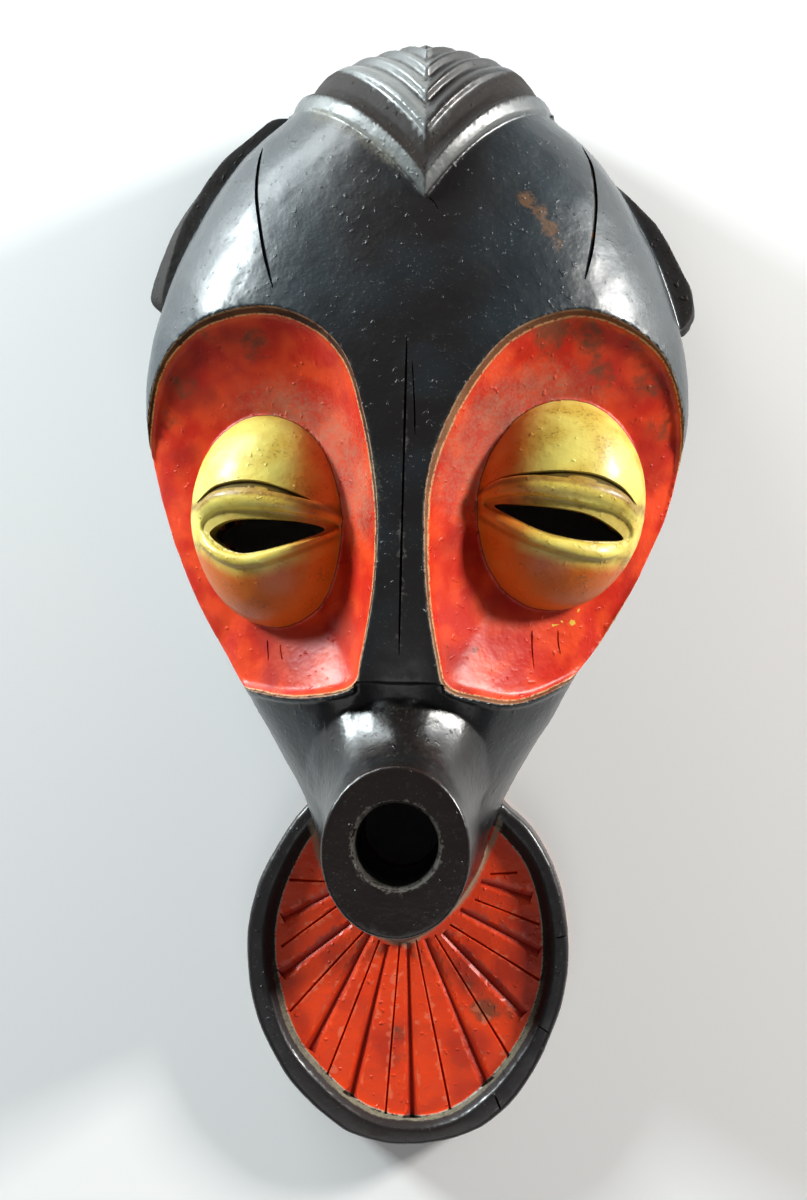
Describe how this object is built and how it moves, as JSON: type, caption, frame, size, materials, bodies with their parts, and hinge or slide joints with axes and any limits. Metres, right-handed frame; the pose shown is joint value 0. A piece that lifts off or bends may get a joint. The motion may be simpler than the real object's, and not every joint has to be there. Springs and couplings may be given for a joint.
{
  "type": "terracotta mask",
  "caption": "Painted clay mask of a long face: scooped red eye sockets, heavy-lidded yellow eyes, tubular mouth, chevron hair crest and a beard plate with a fan of cuts.",
  "frame": {"origin": "centre of the bounding box, on the plane the back rim lies on", "axes": "+X to the right as one looks at the face, +Y from the beard towards the crown, +Z out of the face"},
  "size_m": [0.197, 0.4008, 0.112],
  "materials": {
    "black_paint": "blue-black satin gloss paint on fired clay, dusty in the hollows",
    "red_paint": "satin orange-red paint on fired clay, mottled brown and olive where it is worn",
    "yellow_paint": "satin lemon-yellow paint on fired clay, ochre where it is thin, dirt in the creases",
    "bare_clay": "unpainted matt fired clay on the inside"
  },
  "bodies": {
    "root": {"mask": "black_paint"}
  },
  "joints": []
}
